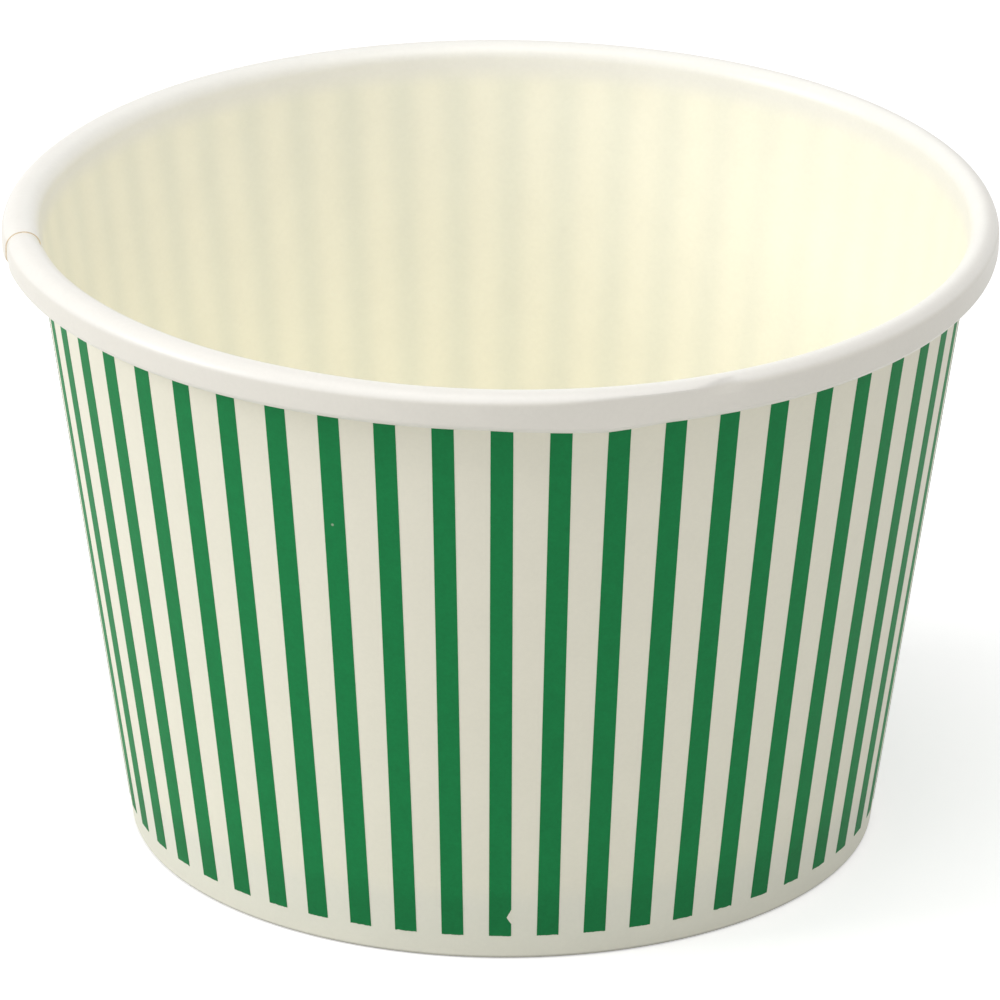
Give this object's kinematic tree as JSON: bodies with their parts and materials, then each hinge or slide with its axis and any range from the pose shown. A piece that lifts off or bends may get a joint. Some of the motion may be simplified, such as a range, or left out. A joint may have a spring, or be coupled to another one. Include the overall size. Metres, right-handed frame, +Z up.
{
  "type": "paper dessert cup",
  "caption": "Round tapered paper tub with a rolled rim, a lapped side seam, a hemmed recessed base and upright green stripes on white",
  "frame": {"origin": "centre of the foot ring, on the surface the cup stands on", "axes": "+Z up along the cup's axis, -Y towards the viewer, the side seam on the -X side"},
  "size_m": [0.0953, 0.0952, 0.0624],
  "materials": {
    "coated_board": "satin coated white board",
    "green_ink": "satin printed ink"
  },
  "bodies": {
    "root": {"cup_wall": "coated_board", "base_disc": "coated_board", "stripe_print": "green_ink"}
  },
  "joints": []
}
